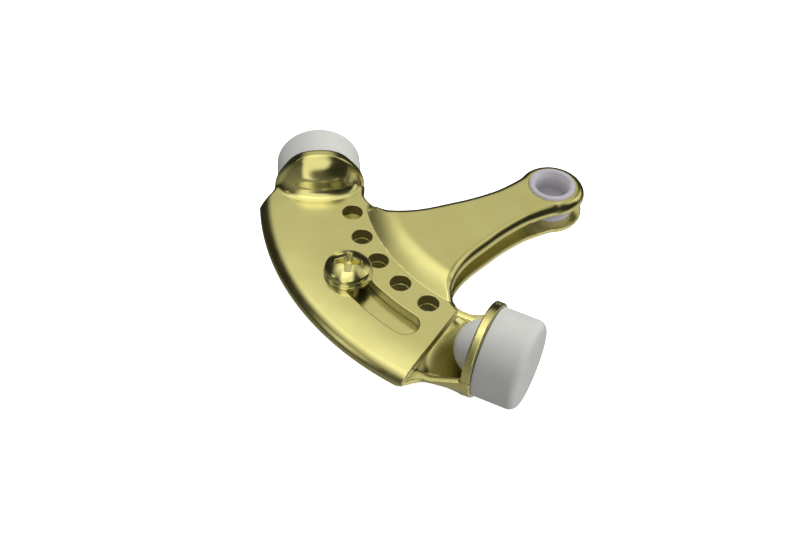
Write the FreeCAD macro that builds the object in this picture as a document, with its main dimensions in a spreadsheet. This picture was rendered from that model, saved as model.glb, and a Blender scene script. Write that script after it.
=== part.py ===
import FreeCAD, Part
import math
import os
import Sketcher
from FreeCAD import Vector, Placement, Rotation

# Adjustable hinge-pin door stop, in millimetres and degrees: two pressed leaves, each with
# an eye, an arm and an arc-shaped band, clamped together by a screw through a slot.
# The origin is on the hinge-pin axis, halfway between the two leaves. +Z runs up along
# the pin and +X runs from the pin to the middle of the band.

doc = FreeCAD.newDocument("door_stop")
sheet = doc.addObject("Spreadsheet::Sheet", "Sizes")

SIZES = [
    # alias, value or formula, what it drives
    ("sheet_thick", 2.2, "height of the outer face of the band"),
    ("leaf_gap", 0.05, "half of the running gap between the leaves"),
    ("arm_step", 1.8, "height the arm is joggled away from the other leaf"),
    ("outer_rad", 60.5, "radius of the outer arc of the band"),
    ("edge_wide", 3.4, "width of the rounded outer edge of the band"),
    ("edge_lip", 0.35, "height of the upright strip under the rounded edge"),
    ("fold_rad", 39.2, "radius of the fold line at the foot of the joggle"),
    ("bend_rad", 33.4, "radius where the joggle has reached the arm"),
    ("arm_round", 0.85, "rounding of the arm edges"),
    ("eye_rad", 6.85, "outer radius of the eye"),
    ("eye_hole_rad", 4.80, "radius of the hole in the eye"),
    ("bush_rad", 4.78, "outer radius of the bush"),
    ("bush_bore_rad", 3.72, "bore radius of the bush"),
    ("bush_top", 4.42, "height of the outer end of the bush"),
    ("bush_bottom", 0.05, "height of the inner end of the bush"),
    ("bush_bevel", 0.25, "bevel at the ends of the bush"),
    ("hole_rad", 2.05, "radius of the indexing holes"),
    ("hole_circle", 42.05, "radius of the circle the indexing holes lie on"),
    ("hole_pitch", 9.94, "angle between indexing holes"),
    ("hole_first", -21.35, "angle of the first indexing hole of the upper leaf"),
    ("slot_rad", 48.9, "radius of the slot centre line"),
    ("slot_half", 2.69, "half of the slot width"),
    ("slot_start", -1.3, "angle of the slot end where the screw stands"),
    ("slot_end", 18.1, "angle of the far slot end"),
    ("screw_angle", "=slot_start", "angle of the clamp screw"),
    ("screw_rad", 2.38, "radius of the screw thread"),
    ("screw_turned", 53.8, "angle of the cross recess about the screw axis"),
    ("tapped_rad", 2.42, "radius of the tapped hole in the lower leaf"),
    ("screw_long", 6.35, "length under the screw head"),
    ("head_rad", 4.63, "radius of the pan head"),
    ("head_high", 2.75, "height of the pan head"),
    ("washer_thick", 0.7, "thickness of the washer"),
    ("washer_rad", 4.75, "outer radius of the washer"),
    ("washer_bore", 2.45, "bore radius of the washer"),
    ("cut_angle", 25.8, "angle of the cut end of a band"),
    ("ring_rad", 9.33, "outer radius of the ring collar"),
    ("ring_bore", 7.42, "bore radius of the ring collar"),
    ("ring_wide", 1.8, "axial width of the ring collar"),
    ("dome_rad", 8.6, "outer radius of the half cup at the ring"),
    ("dome_long", 6.6, "outer length of the half cup behind the ring centre"),
    ("dome_in_rad", "=ring_bore", "inner radius of the half cup"),
    ("dome_in_long", 5.75, "inner length of the half cup"),
    ("uring_x", 39.9, "upper ring centre"),
    ("uring_y", -27.0, "upper ring centre"),
    ("uring_dir", -118.7, "direction of the upper bumper axis"),
    ("lring_x", 36.2, "lower ring centre"),
    ("lring_y", 26.5, "lower ring centre"),
    ("lring_dir", 121.1, "direction of the lower bumper axis"),
    ("bumper_rad", 8.755, "radius of the rubber head"),
    ("bumper_long", 9.5, "distance from the ring centre to the rubber face"),
    ("bumper_round", 1.6, "rounding of the rubber face"),
    ("bumper_neck", 7.38, "radius of the rubber neck in the ring"),
    ("plug_rad", 5.8, "radius of the rubber plug behind the ring"),
    ("plug_long", 5.4, "distance from the ring centre to the end of the plug"),
]
for row, (alias, value, note) in enumerate(SIZES, start=1):
    sheet.set("A%d" % row, alias)
    sheet.set("B%d" % row, str(value))
    sheet.setAlias("B%d" % row, alias)
    sheet.set("C%d" % row, note)
doc.recompute()


def size(alias):
    return float(getattr(sheet, alias))


# Heights of the sheet faces above the plane between the leaves
BAND_TOP = size("sheet_thick")
BAND_UNDER = size("leaf_gap")
ARM_TOP = BAND_TOP + size("arm_step")
ARM_UNDER = BAND_UNDER + size("arm_step")

EYE_JOIN_ANGLE = 62.0     # where the arm leaves the eye circle, either side of +X
CUT_INNER_RAD = 39.75     # inner end of the straight cut across the band
FLAT_ANGLES = (-60.0, -23.4)   # sector beside the ring that stays flat
FOLD_OVERLAP = 0.02       # how far that sector reaches past the fold line
THROUGH = 20              # length of the tools that pass right through a leaf
TOOL_BELOW = 5            # how far the hole tools start below the leaf
HOLE_COUNT = 5            # indexing hole positions
ELLIPSE_STEPS = 12        # spans of the spline through a quarter ellipse
POINT_BEVEL = 0.5         # chamfer at the screw tip
RECESS_HALF_WIDE = 0.62   # cross recess of the screw
RECESS_HALF_LONG = 2.55
RECESS_DEEP = 1.9

# Outline tables: x, y in plan, with the bumper on the -Y side. The lower leaf takes them
# with y reversed.
# Arm: x, half width, eye end first; the arm flares towards the band.
ARM = [(9.3, 5.35), (13.0, 5.55), (17.6, 6.2), (20.7, 6.9), (26.5, 8.3), (30.0, 9.7),
       (32.6, 11.4)]
# Last points of the flare on the side with the cut end
CUT_FLARE = [(34.6, 13.2), (35.7, 15.0)]

LEAVES = {
    "upper": {
        "side": 1,
        "ring": "uring",
        "first_hole": 0,
        "corner_angle": 27.6,   # outer corner of the band on the bumper side
        # from the arm round to the ring
        "shoulder": [(33.75, -13.7), (34.4, -16.2), (34.35, -18.4), (33.2, -20.3),
                     (32.4, -21.1)],
        # beyond the ring, then between there and the band corner
        "ring_edge": [(48.5, -30.5), (49.9, -29.5)],
        "corner_mids": [],
    },
    "lower": {
        "side": -1,
        "ring": "lring",
        "first_hole": 1,        # its holes line up with the upper leaf's last four
        "corner_angle": 25.2,
        "shoulder": [(33.9, -13.7), (34.6, -15.9), (34.3, -17.6), (32.6, -18.75),
                     (28.9, -20.6)],
        "ring_edge": [(44.9, -30.3), (46.5, -28.75), (48.4, -26.9)],
        "corner_mids": [(51.4, -25.75)],
    },
}


# ---------------------------------------------------------------- curves
def polar(radius, angle, height=0.0):
    turn = math.radians(angle)
    return Vector(radius * math.cos(turn), radius * math.sin(turn), height)


def spline(points, start_tangent=None, end_tangent=None):
    curve = Part.BSplineCurve()
    if start_tangent is None:
        curve.interpolate(points)
    else:
        curve.interpolate(points, InitialTangent=start_tangent, FinalTangent=end_tangent)
    return curve.toShape()


def line_or_spline(points):
    return Part.makeLine(*points) if len(points) == 2 else spline(points)


def arc(start, middle, end):
    return Part.Arc(start, middle, end).toShape()


def quarter_ellipse(centre_x, centre_z, half_x, half_z):
    # in the XZ plane, from the top point to the outer point
    points = []
    for k in range(ELLIPSE_STEPS + 1):
        turn = math.pi / 2 * k / ELLIPSE_STEPS
        points.append(Vector(centre_x + half_x * math.sin(turn), 0,
                             centre_z + half_z * math.cos(turn)))
    return spline(points, Vector(1, 0, 0), Vector(0, 0, -1))


# ---------------------------------------------------------------- sketches and bodies
def origin_feature(body, role):
    for feat in body.Origin.OriginFeatures:
        if getattr(feat, "Role", "") == role:
            return feat
    raise RuntimeError("no origin feature " + role)


def plane_sketch(body, role, name):
    sketch = body.newObject("Sketcher::SketchObject", name)
    sketch.AttachmentSupport = [(origin_feature(body, role), "")]
    sketch.MapMode = "FlatFace"
    return sketch


def add_polygon(sketch, points):
    for k, (x, y) in enumerate(points):
        next_x, next_y = points[(k + 1) % len(points)]
        segment = Part.LineSegment(Vector(x, y, 0), Vector(next_x, next_y, 0))
        sketch.addGeometry(segment, False)


def coordinate(entry):
    # an entry is 0, an alias, or (factor, alias); returns its value and its expression
    if entry == 0:
        return 0.0, None
    factor, alias = entry if isinstance(entry, tuple) else (1, entry)
    return factor * size(alias), "%s * Sizes.%s" % (factor, alias)


def hold_corner(sketch, corner, kind, axis_line, entry):
    # ties one coordinate of a corner to the sheet, or to an axis when it is 0
    value, expression = coordinate(entry)
    if expression is None:
        sketch.addConstraint(Sketcher.Constraint("PointOnObject", corner, 1, axis_line))
        return
    index = sketch.addConstraint(Sketcher.Constraint(kind, -1, 1, corner, 1, value))
    name = "%s%d" % (kind, corner)
    sketch.renameConstraint(index, name)
    sketch.setExpression("Constraints." + name, expression)


def turned_body(label, axis, corners):
    # body turned about one of its own axes from a closed section in its XZ plane
    body = doc.addObject("PartDesign::Body", label + "_body")
    body.Label = label
    sketch = plane_sketch(body, "XZ_Plane", label + "_section")
    add_polygon(sketch, [(coordinate(x)[0], coordinate(y)[0]) for x, y in corners])
    count = len(corners)
    for k in range(count):
        sketch.addConstraint(Sketcher.Constraint("Coincident", k, 2, (k + 1) % count, 1))
    for k, (x, y) in enumerate(corners):
        hold_corner(sketch, k, "DistanceX", -2, x)
        hold_corner(sketch, k, "DistanceY", -1, y)
    turn = body.newObject("PartDesign::Revolution", label + "_turn")
    turn.Profile = sketch
    turn.ReferenceAxis = (origin_feature(body, axis + "_Axis"), [""])
    turn.Angle = 360.0
    sketch.Visibility = False
    body.Tip = turn
    doc.recompute()
    return body, turn


def rim(shape, axis, station, radius):
    # name of the circular edge at a station along the axis
    across = "X" if axis == "Z" else "Z"
    for number, edge in enumerate(shape.Edges, start=1):
        box = edge.BoundBox
        flat = getattr(box, axis + "Length") < 1e-6
        placed = abs(getattr(box, axis + "Min") - station) < 1e-3
        if flat and placed and abs(getattr(box, across + "Max") - radius) < 1e-3:
            return "Edge%d" % number
    raise RuntimeError("edge not found")


def dress(body, kind, name, base, edges):
    # fillet or chamfer on named edges of the base feature
    feat = body.newObject("PartDesign::" + kind, name)
    feat.Base = (base, edges)
    body.Tip = feat
    return feat


def feature(name, shape, placement=Placement()):
    obj = doc.addObject("Part::Feature", name)
    obj.Shape = shape
    obj.Placement = placement
    return obj


def cylinder(name, radius_alias, placement, height=str(THROUGH)):
    obj = doc.addObject("Part::Cylinder", name)
    obj.setExpression("Radius", "Sizes." + radius_alias)
    obj.setExpression("Height", height)
    obj.Placement = placement
    return obj


def group(kind, name, **links):
    obj = doc.addObject(kind, name)
    for link, target in links.items():
        setattr(obj, link, target)
    return obj


# ---------------------------------------------------------------- leaves
def section_solid():
    # radial section of the sheet turned about the pin axis: flat arm, joggle, band,
    # rounded edge
    outer, lip_top = size("outer_rad"), BAND_UNDER + size("edge_lip")
    edge_start = outer - size("edge_wide")
    fold, bend, step = size("fold_rad"), size("bend_rad"), size("arm_step")
    axis_top = Vector(0, 0, ARM_TOP)
    bend_top = Vector(bend, 0, ARM_TOP)
    fold_top = Vector(fold, 0, BAND_TOP)
    outer_under = Vector(outer, 0, BAND_UNDER)
    fold_under = Vector(fold - 0.5, 0, BAND_UNDER)
    bend_under = Vector(bend - 0.2, 0, ARM_UNDER)
    axis_under = Vector(0, 0, ARM_UNDER)
    # the middle points and end slopes shape the joggle
    joggle_top = spline(
        [bend_top, Vector(bend + (fold - bend) * 0.46, 0, ARM_TOP - step * 0.36), fold_top],
        Vector(1, 0, 0), Vector(1, 0, -0.46))
    joggle_under = spline(
        [fold_under, Vector(fold - 2.9, 0, BAND_UNDER + step * 0.56), bend_under],
        Vector(-1, 0, 0.25), Vector(-1, 0, 0))
    wire = Part.Wire([
        Part.makeLine(axis_top, bend_top),
        joggle_top,
        Part.makeLine(fold_top, Vector(edge_start, 0, BAND_TOP)),
        quarter_ellipse(edge_start, lip_top, size("edge_wide"), BAND_TOP - lip_top),
        Part.makeLine(Vector(outer, 0, lip_top), outer_under),
        Part.makeLine(outer_under, fold_under),
        joggle_under,
        Part.makeLine(bend_under, axis_under),
        Part.makeLine(axis_under, axis_top)])
    face = Part.Face(wire)
    # start the turn opposite the band, so that no seam crosses a visible curved face
    face.rotate(Vector(0, 0, 0), Vector(0, 0, 1), 180)
    return face.revolve(Vector(0, 0, 0), Vector(0, 0, 1), 360)


def leaf_outline(spec):
    side = spec["side"]
    eye, outer, cut = size("eye_rad"), size("outer_rad"), size("cut_angle") * side

    def points(table):
        return [Vector(x, y * side, 0) for x, y in table]

    # side with the cut end
    eye_cut_side = polar(eye, EYE_JOIN_ANGLE * side)
    cut_points = [eye_cut_side] + points(ARM + CUT_FLARE)
    cut_side = spline(cut_points, polar(1, (EYE_JOIN_ANGLE - 90) * side),
                      Vector(0.35, side, 0))
    cut_inner = polar(CUT_INNER_RAD, cut)
    cut_outer = polar(outer, cut)

    # side with the bumper
    eye_bumper_side = polar(eye, -EYE_JOIN_ANGLE * side)
    shoulder = points(spec["shoulder"])
    bumper_side = spline([eye_bumper_side] + points([(x, -y) for x, y in ARM]) + shoulder)
    ring_edge = points(spec["ring_edge"])
    corner = polar(outer, -spec["corner_angle"] * side)
    corner_edge = [ring_edge[-1]] + points(spec["corner_mids"]) + [corner]

    edges = [
        cut_side,
        Part.makeLine(cut_points[-1], cut_inner),
        Part.makeLine(cut_inner, cut_outer),
        arc(cut_outer, Vector(outer, 0, 0), corner),
        line_or_spline(corner_edge),
        line_or_spline(ring_edge),
        Part.makeLine(shoulder[-1], ring_edge[0]),
        bumper_side,
        arc(eye_bumper_side, Vector(-eye, 0, 0), eye_cut_side)]
    return Part.Face(Part.Wire(Part.__sortEdges__(edges)))


def sector(start, end, radius, bottom, top):
    centre = Vector(0, 0, bottom)
    first, last = polar(radius, start, bottom), polar(radius, end, bottom)
    wire = Part.Wire([
        Part.makeLine(centre, first),
        arc(first, polar(radius, (start + end) / 2, bottom), last),
        Part.makeLine(last, centre)])
    return Part.Face(wire).extrude(Vector(0, 0, top - bottom))


def round_arm(blank):
    # rounds the top edges of the arm and eye
    def on_arm_top(edge):
        box = edge.BoundBox
        if box.ZMax - box.ZMin > 1e-3 or abs(box.ZMax - ARM_TOP) > 1e-3:
            return False
        middle = edge.valueAt((edge.FirstParameter + edge.LastParameter) / 2)
        in_arm = math.hypot(middle.x, middle.y) < size("bend_rad") - 0.3
        return in_arm and edge.Length > 2.0

    # guards the fillet along the spline edges: if it fails, the edges stay sharp
    try:
        rounded = blank.makeFillet(size("arm_round"),
                                   [edge for edge in blank.Edges if on_arm_top(edge)])
        if rounded.isValid() and abs(rounded.Volume / blank.Volume - 1) < 0.05:
            return rounded
    except Exception:
        pass
    return blank


def pressed_sheet(spec):
    # the leaf before the ring and the cup are added, always built on the +Z side
    prism = leaf_outline(spec).extrude(Vector(0, 0, 12))
    blank = section_solid().common(prism)
    # beside the ring the sheet stays flat at band level, inside the fold line as well
    start, end = sorted(angle * spec["side"] for angle in FLAT_ANGLES)
    wedge = sector(start, end, size("fold_rad") + FOLD_OVERLAP, -1, 14)
    wedge = wedge.cut(Part.makeCylinder(size("bend_rad"), 20, Vector(0, 0, -2)))
    band_layer = Part.makeBox(200, 200, BAND_TOP - BAND_UNDER, Vector(-100, -100, BAND_UNDER))
    flat = wedge.common(prism).common(band_layer)
    return round_arm(blank.cut(wedge).fuse(flat).removeSplitter())


def ellipsoid(radius, length):
    # solid of the half ellipse along local +X
    top, end, centre = Vector(0, 0, radius), Vector(length, 0, 0), Vector(0, 0, 0)
    wire = Part.Wire([Part.makeLine(centre, top), quarter_ellipse(0, 0, length, radius),
                      Part.makeLine(end, centre)])
    return Part.Face(wire).revolve(centre, Vector(1, 0, 0), 360)


def slot_solid():
    centre, half = size("slot_rad"), size("slot_half")
    inner, outer = centre - half, centre + half
    start, end = size("slot_start"), size("slot_end")
    middle = (start + end) / 2
    start_tip = polar(centre, start) + polar(half, start - 90)
    end_tip = polar(centre, end) + polar(half, end + 90)
    wire = Part.Wire([
        arc(polar(outer, start), polar(outer, middle), polar(outer, end)),
        arc(polar(outer, end), end_tip, polar(inner, end)),
        arc(polar(inner, end), polar(inner, middle), polar(inner, start)),
        arc(polar(inner, start), start_tip, polar(outer, start))])
    return Part.Face(wire).extrude(Vector(0, 0, THROUGH))


def hole_place(radius, angle):
    return Placement(polar(radius, angle, -TOOL_BELOW), Rotation())


def make_leaf(tag, spec):
    ring_name, ring_wide = spec["ring"], size("ring_wide")
    form = feature(tag + "_form", pressed_sheet(spec))
    # local +X points backwards from the ring to the plug
    place = Placement(Vector(size(ring_name + "_x"), size(ring_name + "_y"), 0),
                      Rotation(Vector(0, 0, 1), size(ring_name + "_dir") + 180.0))

    def along_ring(start):
        # a cylinder starting here runs along local +X
        return place.multiply(Placement(Vector(start, 0, 0), Rotation(Vector(0, 1, 0), 90)))

    # half cup over the plug: only the half on the outer side of the leaf
    keep = Part.makeBox(40, 40, 20, Vector(-20, -20, BAND_UNDER))
    cup_shape = ellipsoid(size("dome_rad"), size("dome_long")).common(keep)
    cup = feature(tag + "_cup", cup_shape, place)
    hollow = feature(tag + "_hollow", ellipsoid(size("dome_in_rad"), size("dome_in_long")),
                     place)
    ring = cylinder(tag + "_ring", "ring_rad", along_ring(-ring_wide / 2), "Sizes.ring_wide")
    bore = cylinder(tag + "_ring_bore", "ring_bore", along_ring(-ring_wide * 2.5),
                    "Sizes.ring_wide * 3")
    # everything in front of the ring belongs to the rubber
    front = group("Part::Box", tag + "_front", Length=20, Width=40, Height=40)
    front.Placement = place.multiply(
        Placement(Vector(-20 - ring_wide / 2, -20, -20), Rotation()))

    tools = [hollow, bore, front, cylinder(tag + "_eye_hole", "eye_hole_rad", Placement())]
    for k in range(spec["first_hole"], HOLE_COUNT):
        angle = size("hole_first") + k * size("hole_pitch")
        tools.append(cylinder("%s_index_%d" % (tag, k + 1), "hole_rad",
                              hole_place(size("hole_circle"), angle)))
    if tag == "upper":
        tools.append(feature(tag + "_slot", slot_solid(), hole_place(0, 0)))
    else:
        tools.append(cylinder(tag + "_tapped_hole", "tapped_rad",
                              hole_place(size("slot_rad"), size("screw_angle"))))

    fuse = group("Part::MultiFuse", tag + "_fuse", Shapes=[form, cup])
    inner = group("Part::MultiFuse", tag + "_tools", Shapes=tools)
    cut = group("Part::Cut", tag + "_cut", Base=fuse, Tool=inner)
    collar = group("Part::Cut", tag + "_collar", Base=ring, Tool=bore)
    whole = group("Part::MultiFuse", tag + "_whole", Shapes=[cut, collar])
    doc.recompute()
    if tag == "upper":
        leaf = group("Part::Refine", tag + "_leaf_solid", Source=whole)
    else:
        leaf = group("Part::Mirroring", tag + "_leaf_solid", Source=whole,
                     Base=Vector(0, 0, 0), Normal=Vector(0, 0, 1))
    leaf.Label = tag + "_leaf"
    return leaf


# ---------------------------------------------------------------- bushes
def make_bush(tag):
    label = tag + "_bush"
    body, turn = turned_body(label, "Z", [
        ("bush_bore_rad", "bush_bottom"),
        ("bush_rad", "bush_bottom"),
        ("bush_rad", "bush_top"),
        ("bush_bore_rad", "bush_top")])
    rims = ["Edge%d" % number for number, edge in enumerate(turn.Shape.Edges, start=1)
            if abs(edge.BoundBox.ZLength) < 1e-6]
    bevel = dress(body, "Chamfer", label + "_bevel", turn, rims)
    bevel.setExpression("Size", "Sizes.bush_bevel")
    if tag == "lower":
        body.Placement = Placement(Vector(0, 0, 0), Rotation(Vector(1, 0, 0), 180))
    return body


# ---------------------------------------------------------------- rubber bumpers
def make_bumper(tag, ring_name):
    # local +X runs along the bumper axis from the ring centre to the rubber face
    label = tag + "_bumper"
    body, turn = turned_body(label, "X", [
        ((-1, "plug_long"), 0),
        ("bumper_long", 0),
        ("bumper_long", "bumper_rad"),
        ((0.5, "ring_wide"), "bumper_rad"),
        ((0.5, "ring_wide"), "bumper_neck"),
        ((-0.5, "ring_wide"), "bumper_neck"),
        ((-0.5, "ring_wide"), "plug_rad"),
        ((-1, "plug_long"), "plug_rad")])
    face_round = dress(body, "Fillet", label + "_face_round", turn,
                       [rim(turn.Shape, "X", size("bumper_long"), size("bumper_rad"))])
    face_round.setExpression("Radius", "Sizes.bumper_round")
    doc.recompute()
    plug_round = dress(body, "Fillet", label + "_plug_round", face_round,
                       [rim(face_round.Shape, "X", -size("plug_long"), size("plug_rad"))])
    plug_round.setExpression("Radius", "Sizes.plug_long - Sizes.ring_wide/2 - 0.25")
    body.Placement = Placement(Vector(size(ring_name + "_x"), size(ring_name + "_y"), 0),
                               Rotation(Vector(0, 0, 1), size(ring_name + "_dir")))
    return body


# ---------------------------------------------------------------- clamp screw and washer
def make_washer():
    body, _ = turned_body("clamp_washer", "Z", [
        ("washer_bore", 0),
        ("washer_rad", 0),
        ("washer_rad", "washer_thick"),
        ("washer_bore", "washer_thick")])
    body.Placement = Placement(polar(size("slot_rad"), size("screw_angle"), BAND_TOP),
                               Rotation())
    return body


def make_screw():
    # local z = 0 is the underside of the head
    body, turn = turned_body("clamp_screw", "Z", [
        (0, (-1, "screw_long")),
        ("screw_rad", (-1, "screw_long")),
        ("screw_rad", 0),
        ("head_rad", 0),
        ("head_rad", "head_high"),
        (0, "head_high")])
    head_round = dress(body, "Fillet", "screw_head_round", turn,
                       [rim(turn.Shape, "Z", size("head_high"), size("head_rad"))])
    head_round.setExpression("Radius", "Sizes.head_high * 0.78")
    doc.recompute()
    point = dress(body, "Chamfer", "screw_point", head_round,
                  [rim(head_round.Shape, "Z", -size("screw_long"), size("screw_rad"))])
    point.Size = POINT_BEVEL
    doc.recompute()

    # cross recess sunk from a plane on top of the head
    plan = plane_sketch(body, "XY_Plane", "recess_plan")
    plan.AttachmentOffset = Placement(Vector(0, 0, size("head_high")), Rotation())
    wide, long = RECESS_HALF_WIDE, RECESS_HALF_LONG
    cross = [(-wide, wide), (-wide, long), (wide, long), (wide, wide),
             (long, wide), (long, -wide), (wide, -wide), (wide, -long),
             (-wide, -long), (-wide, -wide), (-long, -wide), (-long, wide)]
    add_polygon(plan, cross)
    for k in range(len(cross)):
        plan.addConstraint(Sketcher.Constraint("Coincident", k, 2, (k + 1) % len(cross), 1))
        plan.addConstraint(Sketcher.Constraint("Block", k))
    recess = body.newObject("PartDesign::Pocket", "cross_recess")
    recess.Profile = plan
    recess.Type = 0
    recess.Length = RECESS_DEEP
    plan.Visibility = False
    body.Tip = recess
    head_seat = BAND_TOP + size("washer_thick")
    body.Placement = Placement(polar(size("slot_rad"), size("screw_angle"), head_seat),
                               Rotation(Vector(0, 0, 1), size("screw_turned")))
    return body


# ---------------------------------------------------------------- build, check and export
parts = [make_leaf(tag, spec) for tag, spec in LEAVES.items()]
parts += [make_bush(tag) for tag in LEAVES]
parts += [make_bumper(tag, spec["ring"]) for tag, spec in LEAVES.items()]
parts += [make_screw(), make_washer()]
doc.recompute()

for obj in doc.Objects:
    state = [str(entry) for entry in obj.State]
    if "Invalid" in state or "Error" in state:
        raise RuntimeError("failed object: %s %s" % (obj.Name, state))

os.makedirs("parts", exist_ok=True)
for obj in parts:
    shape = obj.Shape
    if shape.isNull() or not shape.isValid():
        raise RuntimeError("bad shape: " + obj.Label)
    if len(shape.Solids) != 1:
        raise RuntimeError("not one solid: " + obj.Label)
    shape.exportStep("parts/" + obj.Label + ".step")
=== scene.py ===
"""Pair of brass leaves turning on one bushed eye, clamped by a screw through a curved slot.

The pivot axis is Z through the origin and the bands of both leaves lie towards +X. The leaves
meet at z = 0: the upper one (side 1) lies above it, the lower one (side -1) below it, turned
over about X. Each leaf carries a ring with a rubber bumper. Shapes are worked out in
millimetres as signed distances, negative inside, and built in metres.
"""
import math
import bmesh
import bpy
import numpy as np
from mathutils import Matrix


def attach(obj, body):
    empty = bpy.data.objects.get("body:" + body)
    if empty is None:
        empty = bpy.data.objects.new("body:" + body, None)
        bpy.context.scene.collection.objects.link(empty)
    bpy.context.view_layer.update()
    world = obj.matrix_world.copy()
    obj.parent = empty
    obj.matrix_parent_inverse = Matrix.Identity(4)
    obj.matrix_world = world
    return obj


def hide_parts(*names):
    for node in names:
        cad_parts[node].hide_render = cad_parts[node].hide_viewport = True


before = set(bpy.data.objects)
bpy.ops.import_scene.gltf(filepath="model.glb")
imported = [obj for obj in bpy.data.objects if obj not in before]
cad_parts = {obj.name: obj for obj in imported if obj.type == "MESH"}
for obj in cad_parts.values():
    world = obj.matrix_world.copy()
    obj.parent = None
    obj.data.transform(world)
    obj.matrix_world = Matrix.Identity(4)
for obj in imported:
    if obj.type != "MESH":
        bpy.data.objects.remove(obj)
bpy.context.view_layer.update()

import openvdb as vdb
from mathutils import Matrix, Vector

SIDES = {1: "upper", -1: "lower"}


def polar(radius, degrees):
    return (radius * math.cos(math.radians(degrees)), radius * math.sin(math.radians(degrees)))


# ------------------------------------------------------------ sizes, mm and degrees
LEAF_GRID, SCREW_GRID = 0.21, 0.09    # grid steps of the meshed solids
SHEET = 2.2                           # top of the band above z = 0
GAP = 0.05                            # underside of the band above z = 0
RISE = 1.8                            # height of the arm over the band
RISE_FOOT_R, RISE_TOP_R = 39.2, 33.4  # the arm climbs inwards between these radii
BAND_R = 60.5                         # outer radius of the band
CUT_ANGLE = 25.8                      # plain end of the band
CROWN_R, CROWN_WIDTH = 50.8, 7.0      # the top starts to fall here, over this width
CROWN_SLOPE = 0.125                   # slope reached at the end of the crown
ROLL_R, ROLL_Z, ROLL_SIZE = 57.267, -2.504, 4.3   # rolled outer edge: centre and radius

EYE_R, EYE_HOLE_R = 6.85, 4.80
HOLE_CIRCLE_R = 42.05
HOLES = [polar(HOLE_CIRCLE_R, -21.35 + 9.94 * k) for k in range(5)]
HOLE_R = {1: 2.02, -1: 1.82}
HOLE_PITCH, HOLE_THREAD = 0.79, 0.06
SLOT_R, SLOT_HALF, SLOT_START, SLOT_END = 48.9, 2.69, -1.3, 18.1
SCREW_X, SCREW_Y = polar(SLOT_R, SLOT_START)
SCREW_HOLE_R = 2.42

# bumper ring of each side: centre x, y and the direction the bumper points in
RING = {1: (39.9, -27.0, -118.7), -1: (36.2, 26.5, 121.1)}
RING_MID_R, RING_HALF_WALL, RING_HALF_DEPTH = 8.375, 0.955, 0.9
RING_BORE_R = RING_MID_R - RING_HALF_WALL


# ------------------------------------------------------------ distance helpers
def smin(a, b, width):
    """Union with a soft fillet."""
    h = np.clip(0.5 + 0.5 * (b - a) / width, 0, 1)
    return b * (1 - h) + a * h - width * h * (1 - h)


def smax(a, b, width):
    return -smin(-a, -b, width)


def rmax(a, b, radius):
    """Intersection with a round edge."""
    u = np.maximum(a + radius, 0)
    v = np.maximum(b + radius, 0)
    return np.minimum(np.maximum(a, b), -radius) + np.sqrt(u * u + v * v)


def emax(a, b, radius_a, radius_b):
    """Intersection with an elliptical edge."""
    u = np.maximum(a + radius_a, 0) / radius_a
    v = np.maximum(b + radius_b, 0) / radius_b
    radius = (radius_a * u + radius_b * v) / (u + v + 1e-9)
    edge = radius * (np.sqrt(u * u + v * v) - 1)
    return np.where((u > 0) | (v > 0), edge, np.maximum(a, b))


def smoothstep(start, end, x):
    """0 at start, 1 at end; start may be the larger."""
    t = np.clip((x - start) / (end - start), 0, 1)
    return t * t * (3 - 2 * t)


def thread_wave(x, y, z, pitch):
    """Triangle wave from 0 to 1 winding round the axis."""
    turn = np.arctan2(y, x) / (2 * math.pi)
    return 2 * np.abs((z / pitch - turn) % 1.0 - 0.5)


def slot_distance(x, y):
    """Distance to the centre arc of the slot."""
    angle = np.radians(np.clip(np.degrees(np.arctan2(y, x)), SLOT_START, SLOT_END))
    return np.sqrt((x - SLOT_R * np.cos(angle)) ** 2 + (y - SLOT_R * np.sin(angle)) ** 2)


# ------------------------------------------------------------ leaf outline
SPLINE_STEPS = 14     # points per spline span
EYE_JOIN = 62.0       # angle at which the arm leaves the eye
# x, half width of the arm
ARM = [(9.3, 5.35), (13.0, 5.55), (17.6, 6.2), (20.7, 6.9), (26.5, 8.3), (30.0, 9.7),
       (32.6, 11.4)]
# x, y from the arm to the plain end of the band
CUT_SHOULDER = [(34.6, 13.2), (35.7, 15.0), (35.8, 17.4), (35.6, 21.0)]
# x, y from the arm to the ring
RING_SHOULDER = {
    1: [(33.75, -13.7), (34.4, -16.2), (34.35, -18.4), (33.2, -20.3), (32.4, -21.1)],
    -1: [(33.9, -13.7), (34.6, -15.9), (34.3, -17.6), (32.6, -18.75), (28.9, -20.6)]}
# x, y from the ring to beyond the outer arc
NECK = {
    1: [(48.5, -30.5), (49.9, -29.5), polar(BAND_R, -27.6), polar(70, -26.6)],
    -1: [(44.9, -30.3), (46.5, -28.75), (48.4, -26.9), (51.4, -25.75),
         polar(BAND_R, -25.2), polar(70, -24.6)]}
# x, y closing the polygon outside the band, which is cut by its own arc and end
BEYOND = [(75, 0), (75, 45), (36, 45)]


def between(a, b, knot_a, knot_b, t):
    return (knot_b - t) / (knot_b - knot_a) * a + (t - knot_a) / (knot_b - knot_a) * b


def catmull(points):
    """Centripetal Catmull-Rom curve through the points."""
    p = np.array(points, float)
    p = np.vstack([2 * p[0] - p[1], p, 2 * p[-1] - p[-2]])
    out = []
    for i in range(len(p) - 3):
        four = p[i:i + 4]
        knots = [0.0]
        for k in range(3):
            knots.append(knots[-1] + np.linalg.norm(four[k + 1] - four[k]) ** 0.5)
        for t in np.linspace(knots[1], knots[2], SPLINE_STEPS, endpoint=False):
            first, mid, last = [between(four[k], four[k + 1], knots[k], knots[k + 1], t)
                                for k in range(3)]
            start = between(first, mid, knots[0], knots[2], t)
            end = between(mid, last, knots[1], knots[3], t)
            out.append(between(start, end, knots[1], knots[2], t))
    out.append(p[-2])
    return np.array(out)


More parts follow.
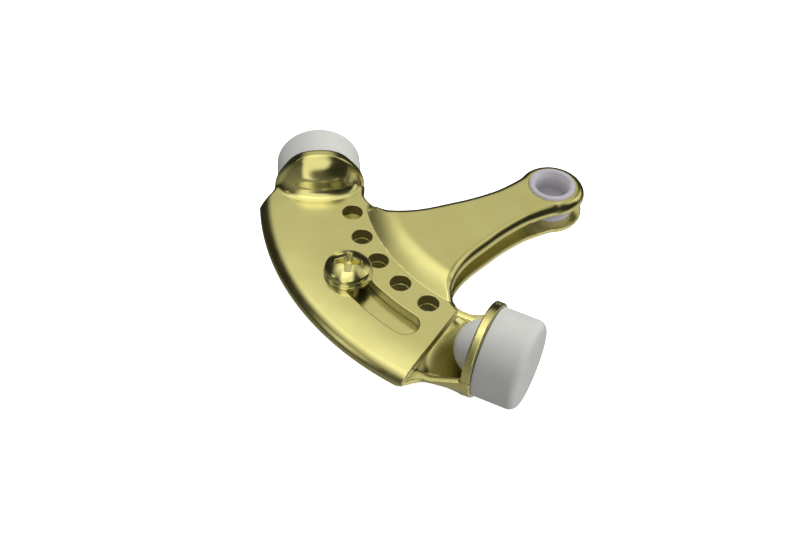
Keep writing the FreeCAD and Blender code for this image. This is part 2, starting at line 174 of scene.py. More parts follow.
def outline(side):
    """Leaf outline without the outer arc and the cut end, drawn with y towards the cut end."""
    start = [polar(EYE_R, 75.0), polar(EYE_R, EYE_JOIN)]   # the first span only sets the tangent
    cut_edge = catmull(start + ARM + CUT_SHOULDER)[SPLINE_STEPS:]
    mirrored_arm = [(x, -y) for x, y in start + ARM]
    ring_edge = catmull(mirrored_arm + RING_SHOULDER[side])[SPLINE_STEPS:]
    neck = np.array(NECK[side]) if side > 0 else catmull(NECK[side])
    eye = np.array([polar(EYE_R, a) for a in np.linspace(EYE_JOIN, 360 - EYE_JOIN, 96)])
    polygon = np.vstack([eye, ring_edge, neck, np.array(BEYOND), cut_edge[::-1]])
    polygon[:, 1] *= side
    return polygon


def polygon_distance(polygon, grid_x, grid_y):
    """Signed distance to a closed polygon, negative inside."""
    px, py = grid_x.ravel(), grid_y.ravel()
    nearest = np.full(px.shape, 1e9)
    inside = np.zeros(px.shape, bool)
    for (ax, ay), (bx, by) in zip(polygon, np.roll(polygon, -1, axis=0)):
        dx, dy = bx - ax, by - ay
        length2 = dx * dx + dy * dy
        if length2 < 1e-12:
            continue
        t = np.clip(((px - ax) * dx + (py - ay) * dy) / length2, 0, 1)
        off_x, off_y = px - ax - t * dx, py - ay - t * dy
        nearest = np.minimum(nearest, off_x * off_x + off_y * off_y)
        if abs(dy) > 1e-12:
            inside ^= ((ay > py) != (by > py)) & (px < ax + dx * (py - ay) / dy)
    distance = np.sqrt(nearest)
    return np.where(inside, -distance, distance).reshape(grid_x.shape)


class PlanField:
    """Polygon distance on a regular plan grid, blurred, and read back with a cubic B-spline."""

    def __init__(self, polygon, low, high, step):
        self.low, self.step = low, step
        axes = [lo + step * np.arange(int(math.ceil((hi - lo) / step)) + 1)
                for lo, hi in zip(low, high)]
        field = polygon_distance(polygon, *np.meshgrid(*axes, indexing="ij"))
        kernel = np.array([1, 4, 6, 4, 1]) / 16.0
        rows, columns = field.shape
        for _ in range(2):
            field = np.pad(field, 2, mode="edge")
            field = sum(kernel[i] * field[i:i + rows, :] for i in range(5))
            field = sum(kernel[i] * field[:, i:i + columns] for i in range(5))
        self.field = field

    @staticmethod
    def weights(t):
        return ((1 - t) ** 3 / 6, (3 * t ** 3 - 6 * t ** 2 + 4) / 6,
                (-3 * t ** 3 + 3 * t ** 2 + 3 * t + 1) / 6, t ** 3 / 6)

    def __call__(self, x, y):
        u = np.clip((x - self.low[0]) / self.step, 1, self.field.shape[0] - 3)
        v = np.clip((y - self.low[1]) / self.step, 1, self.field.shape[1] - 3)
        i, j = np.floor(u).astype(int), np.floor(v).astype(int)
        weights_u, weights_v = self.weights(u - i), self.weights(v - j)
        out = 0
        for a in range(4):
            row = 0
            for b in range(4):
                row = row + weights_v[b] * self.field[i + a - 1, j + b - 1]
            out = out + weights_u[a] * row
        return out


# ------------------------------------------------------------ leaf solid
def rise(r):
    """Height of the arm over the band and its slope along the radius."""
    run = RISE_FOOT_R - RISE_TOP_R
    t = np.clip((RISE_FOOT_R - r) / run, 0, 1)
    foot_slope = 0.46 * run / RISE
    height = (t ** 3 - 2 * t ** 2 + t) * foot_slope + (3 * t ** 2 - 2 * t ** 3)
    slope = (3 * t ** 2 - 4 * t + 1) * foot_slope + (6 * t - 6 * t ** 2)
    slope = slope * np.where((t > 0) & (t < 1), 1, 0)
    return RISE * height, RISE * slope / run


def sheet(edge, x, y, r, up):
    """Band, arm and eye without holes; y towards the cut end, up away from the other leaf."""
    angle = np.degrees(np.arctan2(y, x))
    # beside the ring the sheet stays level further in
    raised = np.maximum(smoothstep(-24.5, -20.5, angle), smoothstep(34.0, 32.5, r))
    height, slope = rise(r)
    under_height, under_slope = rise(r + 0.42)
    crown = np.clip(r - CROWN_R, 0, CROWN_WIDTH)
    fall = CROWN_SLOPE / CROWN_WIDTH * crown
    top = up - SHEET - height * raised + fall * crown / 2
    top = top / np.sqrt(1 + (slope * raised - fall) ** 2)
    under = (GAP + under_height * raised - up) / np.sqrt(1 + (under_slope * raised) ** 2)
    roll = np.sqrt(np.maximum(r - ROLL_R, 0) ** 2 + np.maximum(up - ROLL_Z, 0) ** 2) - ROLL_SIZE
    # the cut plane is moved away over the arm
    cut = math.radians(CUT_ANGLE)
    cut_end = -math.sin(cut) * x + math.cos(cut) * y - 30.0 * smoothstep(38.6, 36.4, r)

    solid = np.where(r > CROWN_R + CROWN_WIDTH, roll, top)
    solid = smax(solid, r - BAND_R, 0.35)
    edge_round = 0.75 + 1.1 * smoothstep(38.5, 35.5, r)
    solid = emax(solid, edge, np.minimum(edge_round, 1.72), edge_round)
    solid = rmax(solid, cut_end, 0.14)
    return rmax(solid, under, 0.1)


def dome(behind, out, z, half_width, height, end):
    """Upper cup: a roof falling away from the ring, a steep far end, square shoulders."""
    power = 3.1       # squareness of the shoulders
    above = np.maximum(z, 0)
    roof_height = np.maximum(height - 0.76 * np.maximum(behind - RING_HALF_DEPTH, 0), 1.2)
    u = np.abs(out) / half_width
    v = above / roof_height
    slope = np.sqrt((power * u ** (power - 1) / half_width) ** 2
                    + (2 * v / roof_height) ** 2 * 1.55)
    roof = (u ** power + v ** 2 - 1) / np.maximum(slope, 0.16)
    far_end = (behind + 0.2 * above + 0.04 * out * out - end) * 0.97
    return rmax(roof, far_end, 1.5)


def hood(behind, out, up, height, length, margin):
    """Lower cup as a height over the plan; margin widens it on both flanks."""
    back = np.maximum(behind, 0)
    u = np.clip((back - 1.0) / length, 0, 1)
    ridge = height * (1 - u) ** 1.3
    ridge = np.where(u >= 1, -(back - 1.0 - length) * 0.6, ridge)
    half_width = np.where(out > 0, 7.7 + 0.42 * np.minimum(back, 6.0),
                          5.45 + 2.2 * smoothstep(5.0, 1.5, back)) + margin
    t = np.abs(out) / half_width
    arch = np.sqrt(np.clip(1 - t * t, 0, 1))
    top = np.where(t < 1, ridge * arch,
                   -(np.abs(out) - half_width) * 1.2 + np.minimum(ridge, 0))
    top = np.where(ridge < 0, np.minimum(ridge, top), top)
    return (up - top) * 0.7


def add_ring(side, solid, x, y, z, r):
    """Adds the bumper ring and the hollow cup behind it."""
    up = z * side
    centre_x, centre_y, degrees = RING[side]
    back_x, back_y = polar(-1.0, degrees)
    behind = (x - centre_x) * back_x + (y - centre_y) * back_y
    across = -(x - centre_x) * back_y + (y - centre_y) * back_x
    out = -across * side          # away from the eye
    ring_r = np.sqrt(across * across + z * z)
    if side > 0:
        cup = dome(behind, out - 0.2, z, half_width=7.6, height=RING_MID_R + RING_HALF_WALL,
                   end=5.35)
        hollow = dome(behind, out - 0.2, z, half_width=6.5, height=7.9, end=4.0)
        cup_fillet, hollow_round, ring_round, ring_fillet = 2.0, 0.3, 0.5, 0.9
    else:
        cup = hood(behind, out, up, height=8.95, length=9.6 + 1.2, margin=1.45)
        hollow = hood(behind, out, up, height=7.5, length=9.6, margin=0.0)
        cup_fillet, hollow_round, ring_round, ring_fillet = 0.9, 0.9, 0.3, 0.6
    ahead = -RING_HALF_DEPTH - behind
    cup = np.maximum(np.maximum(cup, ahead), GAP - up)
    solid = smin(solid, cup, cup_fillet)
    # keep the band clear of the other leaf and of the space ahead of the ring
    solid = np.maximum(solid, np.where(r > RISE_FOOT_R - 4, GAP - up, -9.0))
    solid = np.maximum(solid, np.where(np.abs(across) < 20, ahead, -9.0))
    solid = smax(solid, -hollow, hollow_round)
    ring = rmax(np.abs(ring_r - RING_MID_R) - RING_HALF_WALL,
                np.abs(behind) - RING_HALF_DEPTH, ring_round)
    solid = smin(solid, ring, ring_fillet)
    bore = RING_BORE_R - np.where(np.abs(behind) < 2.0, ring_r, 99.0)
    return rmax(solid, bore - np.maximum(behind - RING_HALF_DEPTH, 0) * 2.0, 0.15)


def cut_holes(side, solid, x, y, z, r):
    """Cuts the eye, the threaded holes and the slot (upper) or screw hole (lower)."""
    solid = rmax(solid, EYE_HOLE_R - r, 0.1)
    for hole_x, hole_y in HOLES if side > 0 else HOLES[1:]:
        dx, dy = x - hole_x, y - hole_y
        radius = HOLE_R[side] + HOLE_THREAD * thread_wave(dx, dy, z, HOLE_PITCH)
        solid = rmax(solid, radius - np.sqrt(dx * dx + dy * dy), 0.08)
    if side > 0:
        return rmax(solid, SLOT_HALF - slot_distance(x, y), 0.27)
    screw_r = np.sqrt((x - SCREW_X) ** 2 + (y - SCREW_Y) ** 2)
    return rmax(solid, SCREW_HOLE_R - screw_r, 0.1)


def leaf_value(side, edge, x, y, z):
    r = np.sqrt(x * x + y * y)
    solid = sheet(edge(x, y), x, y * side, r, z * side)
    solid = add_ring(side, solid, x, y, z, r)
    return cut_holes(side, solid, x, y, z, r)


def punched(points, normals):
    """1 on the walls of the threaded holes, 0.5 on the walls of the slot, 0 elsewhere; used to
    roughen these walls and to paint shade on the hole walls.
    """
    x, y = points[:, 0], points[:, 1]
    steep = 1 - smoothstep(0.35, 0.75, np.abs(normals[:, 2]))
    out = np.zeros(len(points))
    for hole_x, hole_y in HOLES:
        near = np.hypot(x - hole_x, y - hole_y) < 2.3
        out = np.maximum(out, np.where(near, steep, 0))
    near = slot_distance(x, y) < SLOT_HALF + 0.1
    return np.maximum(out, np.where(near, steep * 0.5, 0))


# ------------------------------------------------------------ mesh builders
def link_object(name, data):
    ob = bpy.data.objects.new(name, data)
    bpy.context.scene.collection.objects.link(ob)
    return ob


def gradient(value, points, step):
    out = np.empty_like(points)
    for k in range(3):
        offset = np.zeros(3)
        offset[k] = step
        out[:, k] = value(*(points + offset).T) - value(*(points - offset).T)
    return out / (2 * step)


def quad_mesh(name, points, quads, normals):
    """Smooth quad mesh in metres with custom normals."""
    me = bpy.data.meshes.new(name)
    count = len(quads)
    me.vertices.add(len(points))
    me.vertices.foreach_set("co", np.ascontiguousarray(points, np.float32).ravel())
    me.loops.add(count * 4)
    me.loops.foreach_set("vertex_index", np.ascontiguousarray(quads, np.int32).ravel())
    me.polygons.add(count)
    me.polygons.foreach_set("loop_start", np.arange(0, count * 4, 4, dtype=np.int32))
    me.polygons.foreach_set("use_smooth", np.ones(count, bool))
    me.update(calc_edges=True)
    me.validate()
    me.normals_split_custom_set_from_vertices(normals.tolist())
    return me


def solid_object(name, value, low, high, step, clip, normal_step, walls=None):
    """Object on the surface where value is 0, with normals read from the same function."""
    low, high = np.array(low, float), np.array(high, float)
    count = np.ceil((high - low) / step).astype(int) + 1
    grid_y, grid_z = np.meshgrid(low[1] + step * np.arange(count[1]),
                                 low[2] + step * np.arange(count[2]), indexing="ij")
    samples = np.empty(tuple(count), np.float32)
    for i in range(0, count[0], 16):      # slabs keep memory low
        end = min(count[0], i + 16)
        slab_x = (low[0] + step * np.arange(i, end))[:, None, None]
        slab = np.broadcast_arrays(slab_x, grid_y[None], grid_z[None])
        samples[i:end] = np.clip(value(*slab), -clip, clip)
    grid = vdb.FloatGrid(background=clip)
    grid.copyFromArray(samples, ijk=(0, 0, 0), tolerance=0.0)
    points, quads = grid.convertToQuads(isovalue=0.0)
    points = np.array(points, float) * step + low
    quads = np.array(quads, np.int32)

    for _ in range(3):                    # pull the points onto the surface
        slope = gradient(value, points, 0.02)
        move = value(*points.T) / np.maximum((slope * slope).sum(1), 0.2)
        points = points - slope * np.clip(move, -0.08, 0.08)[:, None]
    normals = gradient(value, points, normal_step)
    normals /= np.linalg.norm(normals, axis=1)[:, None] + 1e-12
    a, b, c = (points[quads[:, k]] for k in range(3))
    if (np.cross(b - a, c - a) * normals[quads[:, 0]]).sum() < 0:
        quads = quads[:, ::-1].copy()
    ob = link_object(name, quad_mesh(name, points / 1000.0, quads, normals))
    if walls is not None:
        attribute = ob.data.attributes.new("punched", "FLOAT", "POINT")
        attribute.data.foreach_set("value", walls(points, normals).astype(np.float32))
    return ob


def turned(name, profile, segments, matrix):
    """Solid turned about local X from (along, radius) pairs.

    A profile that starts on the axis also ends on it; any other joins up with its start.
    """
    profile = np.array(profile, float)
    closed = abs(profile[0][1]) > 1e-6
    rings = profile if closed else profile[1:-1]
    count = len(rings)
    angle = np.linspace(0, 2 * math.pi, segments, endpoint=False)
    verts = np.empty((count, segments, 3))
    verts[:, :, 0] = rings[:, 0][:, None]
    verts[:, :, 1] = rings[:, 1][:, None] * np.cos(angle)[None]
    verts[:, :, 2] = rings[:, 1][:, None] * np.sin(angle)[None]
    verts = verts.reshape(-1, 3)
    around = [(j, (j + 1) % segments) for j in range(segments)]
    faces = []
    for i in range(count if closed else count - 1):
        here, after = i * segments, (i + 1) % count * segments
        faces += [(here + j, here + k, after + k, after + j) for j, k in around]
    if not closed:
        pole, last = len(verts), (count - 1) * segments
        verts = np.vstack([verts, [profile[0][0], 0, 0], [profile[-1][0], 0, 0]])
        for j, k in around:
            faces += [(pole, k, j), (pole + 1, last + j, last + k)]
    me = bpy.data.meshes.new(name)
    me.from_pydata([tuple(v / 1000.0) for v in verts], [], faces)
    me.transform(matrix)
    for polygon in me.polygons:
        polygon.use_smooth = True
    me.update()
    me.validate()
    bm = bmesh.new()
    bm.from_mesh(me)
    bmesh.ops.recalc_face_normals(bm, faces=bm.faces)
    bm.to_mesh(me)
    bm.free()
    return link_object(name, me)


def arc(along, radius, size, start, end, count, size_r=None):
    """Profile points on an arc about (along, radius); size_r is its size across the axis."""
    size_r = size if size_r is None else size_r
    return [(along + size * math.cos(t), radius + size_r * math.sin(t))
            for t in np.radians(np.linspace(start, end, count))]


# ------------------------------------------------------------ pieces
def leaf(side):
    def span(low, high):
        return (low, high) if side > 0 else (-high, -low)

    plan_low, plan_high = span(-42, 32)
    edge = PlanField(outline(side), (-9, plan_low), (64, plan_high), step=0.2)
    low, high = span(-33.5, 27.5)
    return solid_object(f"leaf_{SIDES[side]}", lambda x, y, z: leaf_value(side, edge, x, y, z),
                        (-7.6, low, -9.8), (61.2, high, 9.8), LEAF_GRID,
                        clip=0.9, normal_step=0.05, walls=punched)


def bumper(side):
    """Rubber bumper: a crowned nose ahead of the ring and a ball-ended plug through it."""
    radius, nose, nose_round, crown = 8.755, 9.5, 1.7, 0.12
    plug = 4.2 if side > 0 else 5.68
    flat_r = radius - nose_round
    profile = [(nose + crown, 0)]
    profile += [(nose + crown - crown * (t / flat_r) ** 2, t) for t in np.linspace(0.4, flat_r, 12)]
    profile += arc(nose - nose_round, flat_r, nose_round, 0, 90, 16)[1:]
    profile += list(np.linspace((nose - nose_round - 0.3, radius + 0.01),
                                (1.3, radius + 0.03), 8))
    profile += arc(1.2, radius - 0.2, 0.25, 90, 180, 6, size_r=0.23)
    profile += [(0.93, 8.2), (0.93, 7.38), (-0.4, 7.36), (-0.95, 7.0), (-1.0, 6.3)]
    profile += arc(0, 0, plug, 104.0, 180, 34)[:-1]
    profile += [(-plug, 0)]
    x, y, degrees = RING[side]
    matrix = (Matrix.Translation((x / 1000, y / 1000, 0))
              @ Matrix.Rotation(math.radians(degrees), 4, "Z"))
    return turned(f"bumper_{SIDES[side]}", profile, 192, matrix)


def bush(side):
    """Half of the bush in the eye."""
    start, end, outer_r, inner_r, outer_round, inner_round = 0.01, 4.42, 4.78, 3.72, 0.2, 0.3
    profile = arc(end - outer_round, outer_r - outer_round, outer_round, 90, 0, 6)
    profile += arc(end - inner_round, inner_r + inner_round, inner_round, 0, -90, 6)
    profile += [(start, inner_r), (start, outer_r)]
    matrix = Matrix.Rotation(math.radians(-90 * side), 4, "Y")
    return turned(f"bush_{SIDES[side]}", profile, 128, matrix)


def washer():
    bottom, top, inner_r, outer_r, outer_round, inner_round = 2.24, 2.85, 2.45, 4.75, 0.15, 0.1
    profile = []
    for z, radius, size, start, count in (
            (top - outer_round, outer_r - outer_round, outer_round, 90, 5),
            (top - inner_round, inner_r + inner_round, inner_round, 0, 4),
            (bottom + inner_round, inner_r + inner_round, inner_round, -90, 4),
            (bottom + outer_round, outer_r - outer_round, outer_round, 180, 5)):
        profile += arc(z, radius, size, start, start - 90, count)
    matrix = (Matrix.Translation((SCREW_X / 1000, SCREW_Y / 1000, 0))
              @ Matrix.Rotation(math.radians(-90), 4, "Y"))
    return turned("washer", profile, 96, matrix)


HEAD_Z = 2.9                      # underside of the screw head
HEAD_HEIGHT, HEAD_R, HEAD_CROWN_R = 2.75, 4.63, 7.4
RECESS_ANGLE, RECESS_DEPTH = 53.8, 2.0
SHANK_END, SHANK_PITCH = -6.35, 0.794


def screw_value(x, y, z):
    """Cross-recess pan head with its threaded shank."""
    x, y, z = x - SCREW_X, y - SCREW_Y, z - HEAD_Z
    r = np.sqrt(x * x + y * y)
    crown = np.sqrt(r * r + (z - (HEAD_HEIGHT - HEAD_CROWN_R)) ** 2) - HEAD_CROWN_R
    head = emax(crown, r - HEAD_R, 0.42, 0.42)
    head = rmax(head, -z, 0.15)
    # recess: two crossed arms and a cone, all narrowing with depth
    turn = math.radians(RECESS_ANGLE)
    u = np.abs(x * math.cos(turn) + y * math.sin(turn))
    v = np.abs(-x * math.sin(turn) + y * math.cos(turn))
    depth = HEAD_HEIGHT - z
    half_width = 0.66 - 0.16 * depth
    reach = 2.85 - 0.62 * depth
    arms = smin(rmax(v - half_width, u - reach, 0.12), rmax(u - half_width, v - reach, 0.12), 0.16)
    recess = smin(arms, r - (1.25 - 0.62 * depth), 0.2)
    recess = np.maximum(recess, (HEAD_HEIGHT - RECESS_DEPTH) - z)
    head = rmax(head, -recess, 0.1)
    # shank with a chamfered end
    wave = thread_wave(x, y, z, SHANK_PITCH)
    body = r - (1.93 + 0.44 * np.clip(wave * 1.25 - 0.12, 0, 1))
    end = SHANK_END - z
    shank = np.maximum(rmax(body * 0.75, end, 0.2), z - 0.3)
    shank = rmax(shank, (r + 0.9 * end - 1.95) * 0.74, 0.1)
    return np.minimum(head, shank)


def screw():
    return solid_object("screw", screw_value, (SCREW_X - 5.0, SCREW_Y - 5.0, -3.9),
                        (SCREW_X + 5.0, SCREW_Y + 5.0, 6.0), SCREW_GRID,
                        clip=0.4, normal_step=0.03)


pieces = []    # object, body it rides, node it replaces, material slot
for shape, part, slot in ((leaf, "leaf", "polished_brass"), (bumper, "bumper", "grey_rubber"),
                          (bush, "bush", "nylon")):
    for side, word in SIDES.items():
        pieces.append((shape(side), f"{word}_leaf", f"{word}_{part}", slot))
pieces.append((washer(), "washer", "clamp_washer", "screw_brass"))
pieces.append((screw(), "screw", "clamp_screw", "screw_brass"))
for ob, body, node, slot in pieces:
    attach(ob, body)
    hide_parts(node)


# ------------------------------------------------------------ shader helpers
def set_inputs(tree, node, inputs):
    """Links the sockets and sets the plain values."""
    for key, value in inputs.items():
        if isinstance(value, bpy.types.NodeSocket):
            tree.links.new(value, node.inputs[key])
        else:
            node.inputs[key].default_value = value


def add_node(tree, kind, inputs=None, **settings):
    node = tree.nodes.new("ShaderNode" + kind)
    for key, value in settings.items():
        setattr(node, key, value)
    set_inputs(tree, node, inputs or {})
    return node


def math_node(tree, operation, *values, clamp=False):
    return add_node(tree, "Math", dict(enumerate(values)),
                    operation=operation, use_clamp=clamp).outputs[0]


def mix_colour(tree, factor, first, second):
    return add_node(tree, "MixRGB", {0: factor, 1: first, 2: second}).outputs[0]


def noise(tree, vector, scale, detail):
    return add_node(tree, "TexNoise", {"Scale": scale, "Detail": detail, "Roughness": 0.5,
                                       "Vector": vector}).outputs["Fac"]


def varied(tree, vector, low, high, scale, detail, top=0.7):
    """Noise spread from the colour low (noise 0.3) to high (noise top)."""
    factor = noise(tree, vector, scale, detail)
    node = add_node(tree, "ValToRGB", {0: factor})
    for element, position, colour in zip(node.color_ramp.elements, (0.3, top), (low, high)):
        element.position = position
        element.color = colour
    return node.outputs[0]


def bump(tree, height, strength, distance, normal=None):
    inputs = {"Strength": strength, "Distance": distance, "Height": height}
    if normal is not None:
        inputs["Normal"] = normal
    return add_node(tree, "Bump", inputs).outputs[0]


def grey(value):
    return (value, value, value, 1)


def material(name):
    mat = bpy.data.materials.new(name)
    mat.use_nodes = True
    tree = mat.node_tree
    tree.nodes.clear()
    output = add_node(tree, "OutputMaterial")
    bsdf = add_node(tree, "BsdfPrincipled")
    tree.links.new(bsdf.outputs[0], output.inputs[0])
    return mat, tree, bsdf, add_node(tree, "TexCoord").outputs["Object"]


# ------------------------------------------------------------ materials
def brass(name, roughness, wave):
    """Polished brass, dull on the punched walls, with painted shade on the hole walls; wave is the
    slow surface ripple.
    """
    mat, tree, bsdf, vector = material(name)
    colour = varied(tree, vector, (0.77, 0.705, 0.262, 1), (0.81, 0.75, 0.295, 1),
                    scale=160, detail=3)
    rough = varied(tree, vector, grey(roughness[0]), grey(roughness[1]),
                   scale=420, detail=4, top=0.75)
    wall = add_node(tree, "Attribute", attribute_name="punched").outputs["Fac"]
    # only the hole walls pass 0.5; painted shade: they are darkened towards near black
    hole = math_node(tree, "SUBTRACT", wall, 0.5, clamp=True)
    hole_shade = math_node(tree, "MULTIPLY", hole, 1.7)
    colour = mix_colour(tree, hole_shade, colour, (0.10, 0.085, 0.015, 1))
    # painted reflection: brass seen in reflections on brass is painted paler
    glossy = add_node(tree, "LightPath").outputs["Is Glossy Ray"]
    colour = mix_colour(tree, glossy, colour, (0.93, 0.90, 0.70, 1))
    rough = math_node(tree, "MULTIPLY_ADD", wall, 0.5, rough)
    ripple = bump(tree, noise(tree, vector, scale=95, detail=2.0), strength=wave, distance=0.001)
    grain = bump(tree, noise(tree, vector, scale=3200, detail=2.0), strength=0.30,
                 distance=0.00001, normal=ripple)
    set_inputs(tree, bsdf, {"Metallic": 1.0, "Base Color": colour, "Roughness": rough,
                            "Normal": grain})
    return mat


def soft(name, low, high, roughness, scale, relief, subsurface, glow=0.0):
    """Matt plastic or rubber; glow paints light onto the faces that stand upright."""
    mat, tree, bsdf, vector = material(name)
    colour = varied(tree, vector, (*low, 1), (*high, 1), scale=scale, detail=4)
    rough = varied(tree, vector, grey(roughness[0]), grey(roughness[1]),
                   scale=scale * 3, detail=3, top=0.75)
    normal = bump(tree, noise(tree, vector, scale=scale * 8, detail=4), strength=relief,
                  distance=0.0001)
    set_inputs(tree, bsdf, {"Base Color": colour, "Roughness": rough, "Normal": normal,
                            "Subsurface Weight": subsurface,
                            "Subsurface Radius": (0.002, 0.002, 0.002)})
    if glow:
        # painted light: emission on the upright faces, strongest where the normal lies level
        facing = add_node(tree, "NewGeometry").outputs["Normal"]
        facing_z = add_node(tree, "SeparateXYZ", {0: facing}).outputs["Z"]
        level = math_node(tree, "ABSOLUTE", facing_z)
        strength = math_node(tree, "MULTIPLY_ADD", level, -glow, glow)
        set_inputs(tree, bsdf, {"Emission Color": (1, 0.99, 1, 1), "Emission Strength": strength})
    return mat


def floor_material():
    mat, tree, bsdf, vector = material("floor")
    colour = varied(tree, vector, grey(0.86), grey(0.88), scale=9, detail=3)
    rough = varied(tree, vector, grey(0.85), grey(0.95), scale=30, detail=3)
    set_inputs(tree, bsdf, {"Base Color": colour, "Roughness": rough,
                            "Emission Color": grey(1.0), "Emission Strength": 0.86})
    return mat


materials = {
    "polished_brass": brass("polished_brass", roughness=(0.17, 0.24), wave=0.08),
    "screw_brass": brass("screw_brass", roughness=(0.13, 0.19), wave=0.05),
    "grey_rubber": soft("grey_rubber", low=(0.495, 0.495, 0.462), high=(0.525, 0.525, 0.492),
                        roughness=(0.42, 0.55), scale=260, relief=0.25, subsurface=0.1),
    # nylon gets painted light: glow brightens its upright bore faces
    "nylon": soft("nylon", low=(0.36, 0.345, 0.37), high=(0.40, 0.385, 0.41),
                  roughness=(0.35, 0.5), scale=300, relief=0.15, subsurface=0.3, glow=0.17),
}
for ob, _, _, slot in pieces:
    ob.data.materials.append(materials[slot])

# ------------------------------------------------------------ floor, metres
FLOOR_Z, FLOOR_HALF = -0.0098, 3.0


def make_floor():
    mat = floor_material()
    me = bpy.data.meshes.new("floor")
    corners = ((-1, -1), (1, -1), (1, 1), (-1, 1))
    me.from_pydata([(x * FLOOR_HALF, y * FLOOR_HALF, FLOOR_Z) for x, y in corners], [],
                   [(0, 1, 2, 3)])
    floor = link_object("floor", me)
    me.materials.append(mat)
    floor.visible_glossy = False
    floor.visible_diffuse = False


make_floor()

# ------------------------------------------------------------ world
scene = bpy.context.scene
world = bpy.data.worlds.new("studio")
scene.world = world
world.use_nodes = True
sky = world.node_tree
sky.nodes.clear()
world_output = add_node(sky, "OutputWorld")
sky_vector = add_node(sky, "TexCoord").outputs["Generated"]


def calc(operation, *values, clamp=False):
    return math_node(sky, operation, *values, clamp=clamp)


def dot_dir(direction):
    return add_node(sky, "VectorMath", {0: sky_vector, 1: direction},
                    operation="DOT_PRODUCT").outputs["Value"]


def unit(azimuth, elevation):
    a, e = math.radians(azimuth), math.radians(elevation)
    return Vector((math.cos(a) * math.cos(e), math.sin(a) * math.cos(e), math.sin(e)))


def box_light(azimuth, elevation, half_width, half_height, soft_edge, power):
    """Soft rectangular patch of light; sizes are tangents of half angles."""
    middle = unit(azimuth, elevation)
    across = unit(azimuth + 90, 0)
    upward = middle.cross(across)
    depth = calc("MAXIMUM", dot_dir(middle), 0.0001)
    fades = []
    for direction, half in ((across, half_width), (upward, half_height)):
        offset = calc("ABSOLUTE", calc("DIVIDE", dot_dir(direction), depth))
        fades.append(calc("DIVIDE", calc("SUBTRACT", half, offset), soft_edge, clamp=True))
    ahead = calc("GREATER_THAN", dot_dir(middle), 0.02)
    return calc("MULTIPLY", calc("MULTIPLY", calc("MULTIPLY", *fades), ahead), power)


def cone(azimuth, elevation, inner, outer, power):
    """Round soft patch: full inside the inner half angle, gone outside the outer one."""
    low, high = math.cos(math.radians(outer)), math.cos(math.radians(inner))
    offset = calc("SUBTRACT", dot_dir(unit(azimuth, elevation)), low)
    t = calc("DIVIDE", offset, high - low, clamp=True)
    square = calc("MULTIPLY", t, t)
    slope = calc("SUBTRACT", 3.0, calc("MULTIPLY", t, 2.0))
    return calc("MULTIPLY", calc("MULTIPLY", square, slope), power)


def background(colour, strength):
    return add_node(sky, "Background", {"Color": colour, "Strength": strength}).outputs[0]


# azimuth, elevation, inner and outer half angle, power
CONES = (
    (238, 57, 10, 40, 0.60),      # big soft box seen in the flat faces
    (285, 74, 8, 34, 0.64),       # its hot centre
    (333, 43, 4, 11, 0.80),       # small panel beside the band
    (142, -44, 22, 48, 0.50),     # pale table beyond the arm
    (172, 25, 8, 23, 0.70),       # fill beside the arm
    (162, 50, 6, 20, 0.60),       # panel on the arm's side
    (5, 32, 3, 14, 0.05))         # faint patch over the band

# low brightness all round, a little more from below
down = calc("MAXIMUM", calc("MULTIPLY", dot_dir(Vector((0, 0, 1))), -1.0), 0.0)
near = calc("MAXIMUM", dot_dir(unit(20, -45)), 0.0)
total = calc("ADD", calc("MULTIPLY", near, 0.26), 0.025)
total = calc("ADD", total, calc("MULTIPLY", down, 0.06))
for patch in CONES:
    total = calc("ADD", total, cone(*patch))
# tall panel with a round bite out of its foot
panel = box_light(azimuth=48, elevation=50, half_width=0.44, half_height=1.10,
                  soft_edge=0.16, power=1.12)
bite = cone(azimuth=67, elevation=21, inner=14, outer=23, power=1.08)
total = calc("ADD", total, calc("SUBTRACT", panel, bite, clamp=True))

# reflections see the patches, diffuse rays an even grey, the camera plain white
studio = background((1.0, 0.995, 0.98, 1), total)
white = background((1, 1, 1, 1), 1.0)
rays = add_node(sky, "LightPath").outputs
even = background((0.97, 0.96, 1.0, 1), 0.50)
mixed = add_node(sky, "MixShader", {0: rays["Is Diffuse Ray"], 1: studio, 2: even}).outputs[0]
mixed = add_node(sky, "MixShader", {0: rays["Is Camera Ray"], 1: mixed, 2: white}).outputs[0]
sky.links.new(mixed, world_output.inputs[0])


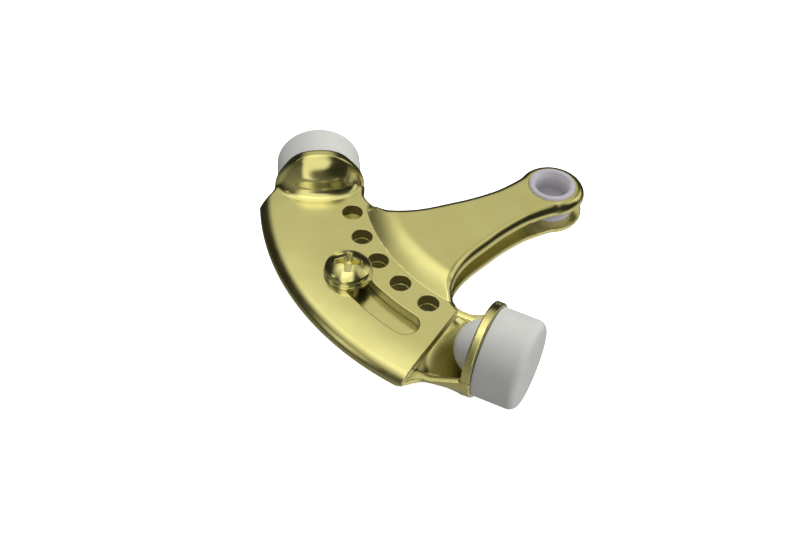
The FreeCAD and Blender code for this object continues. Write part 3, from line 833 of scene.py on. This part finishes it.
# ------------------------------------------------------------ lights, metres and watts
def area(name, place, target, size, power):
    """Disk light aimed at target and left out of reflections."""
    light = bpy.data.lights.new(name, "AREA")
    light.shape = "DISK"
    light.size = size
    light.energy = power
    ob = link_object(name, light)
    ob.location = place
    aim = Vector(target) - Vector(place)
    ob.rotation_euler = aim.to_track_quat("-Z", "Y").to_euler()
    ob.visible_glossy = False


area("key", place=(-0.22, -0.25, 0.62), target=(0.03, 0, 0), size=0.35, power=3.6)
area("fill", place=(-0.30, 0.44, 0.16), target=(0.03, 0.03, 0), size=0.30, power=1.5)

# ------------------------------------------------------------ camera
LENS, SENSOR = 55.395, 36.0           # mm
ELEVATION = math.radians(45.49)       # how steeply it looks down
ROLL = math.radians(-4.28)
BEARING = math.radians(216.2)         # heading of the view, from +Y towards +X
ANCHOR = Vector((0, 0, 2.2))          # mm, point on the pivot axis the view is placed by
ANCHOR_RIGHT, ANCHOR_UP = 31.495, 15.730   # mm, where it lies from the view centre
DISTANCE = 256.67223                  # mm, from the camera to the anchor along the view


def make_camera():
    sin_e, cos_e = math.sin(ELEVATION), math.cos(ELEVATION)
    sin_b, cos_b = math.sin(BEARING), math.cos(BEARING)
    level_right = Vector((cos_b, -sin_b, 0))
    level_up = Vector((sin_e * sin_b, sin_e * cos_b, cos_e))
    forward = Vector((cos_e * sin_b, cos_e * cos_b, -sin_e))
    right = math.cos(ROLL) * level_right - math.sin(ROLL) * level_up
    up = math.sin(ROLL) * level_right + math.cos(ROLL) * level_up
    place = (ANCHOR - ANCHOR_RIGHT * right - ANCHOR_UP * up - DISTANCE * forward) / 1000.0
    camera = bpy.data.cameras.new("camera")
    ob = link_object("camera", camera)
    rows = [(right[k], up[k], -forward[k], place[k]) for k in range(3)]
    ob.matrix_world = Matrix(rows + [(0, 0, 0, 1)])
    camera.sensor_width = SENSOR
    camera.sensor_fit = "HORIZONTAL"
    camera.lens = LENS
    camera.clip_start, camera.clip_end = 0.01, 10
    scene.camera = ob


make_camera()
scene.view_settings.view_transform = "Standard"
scene.view_settings.look = "None"
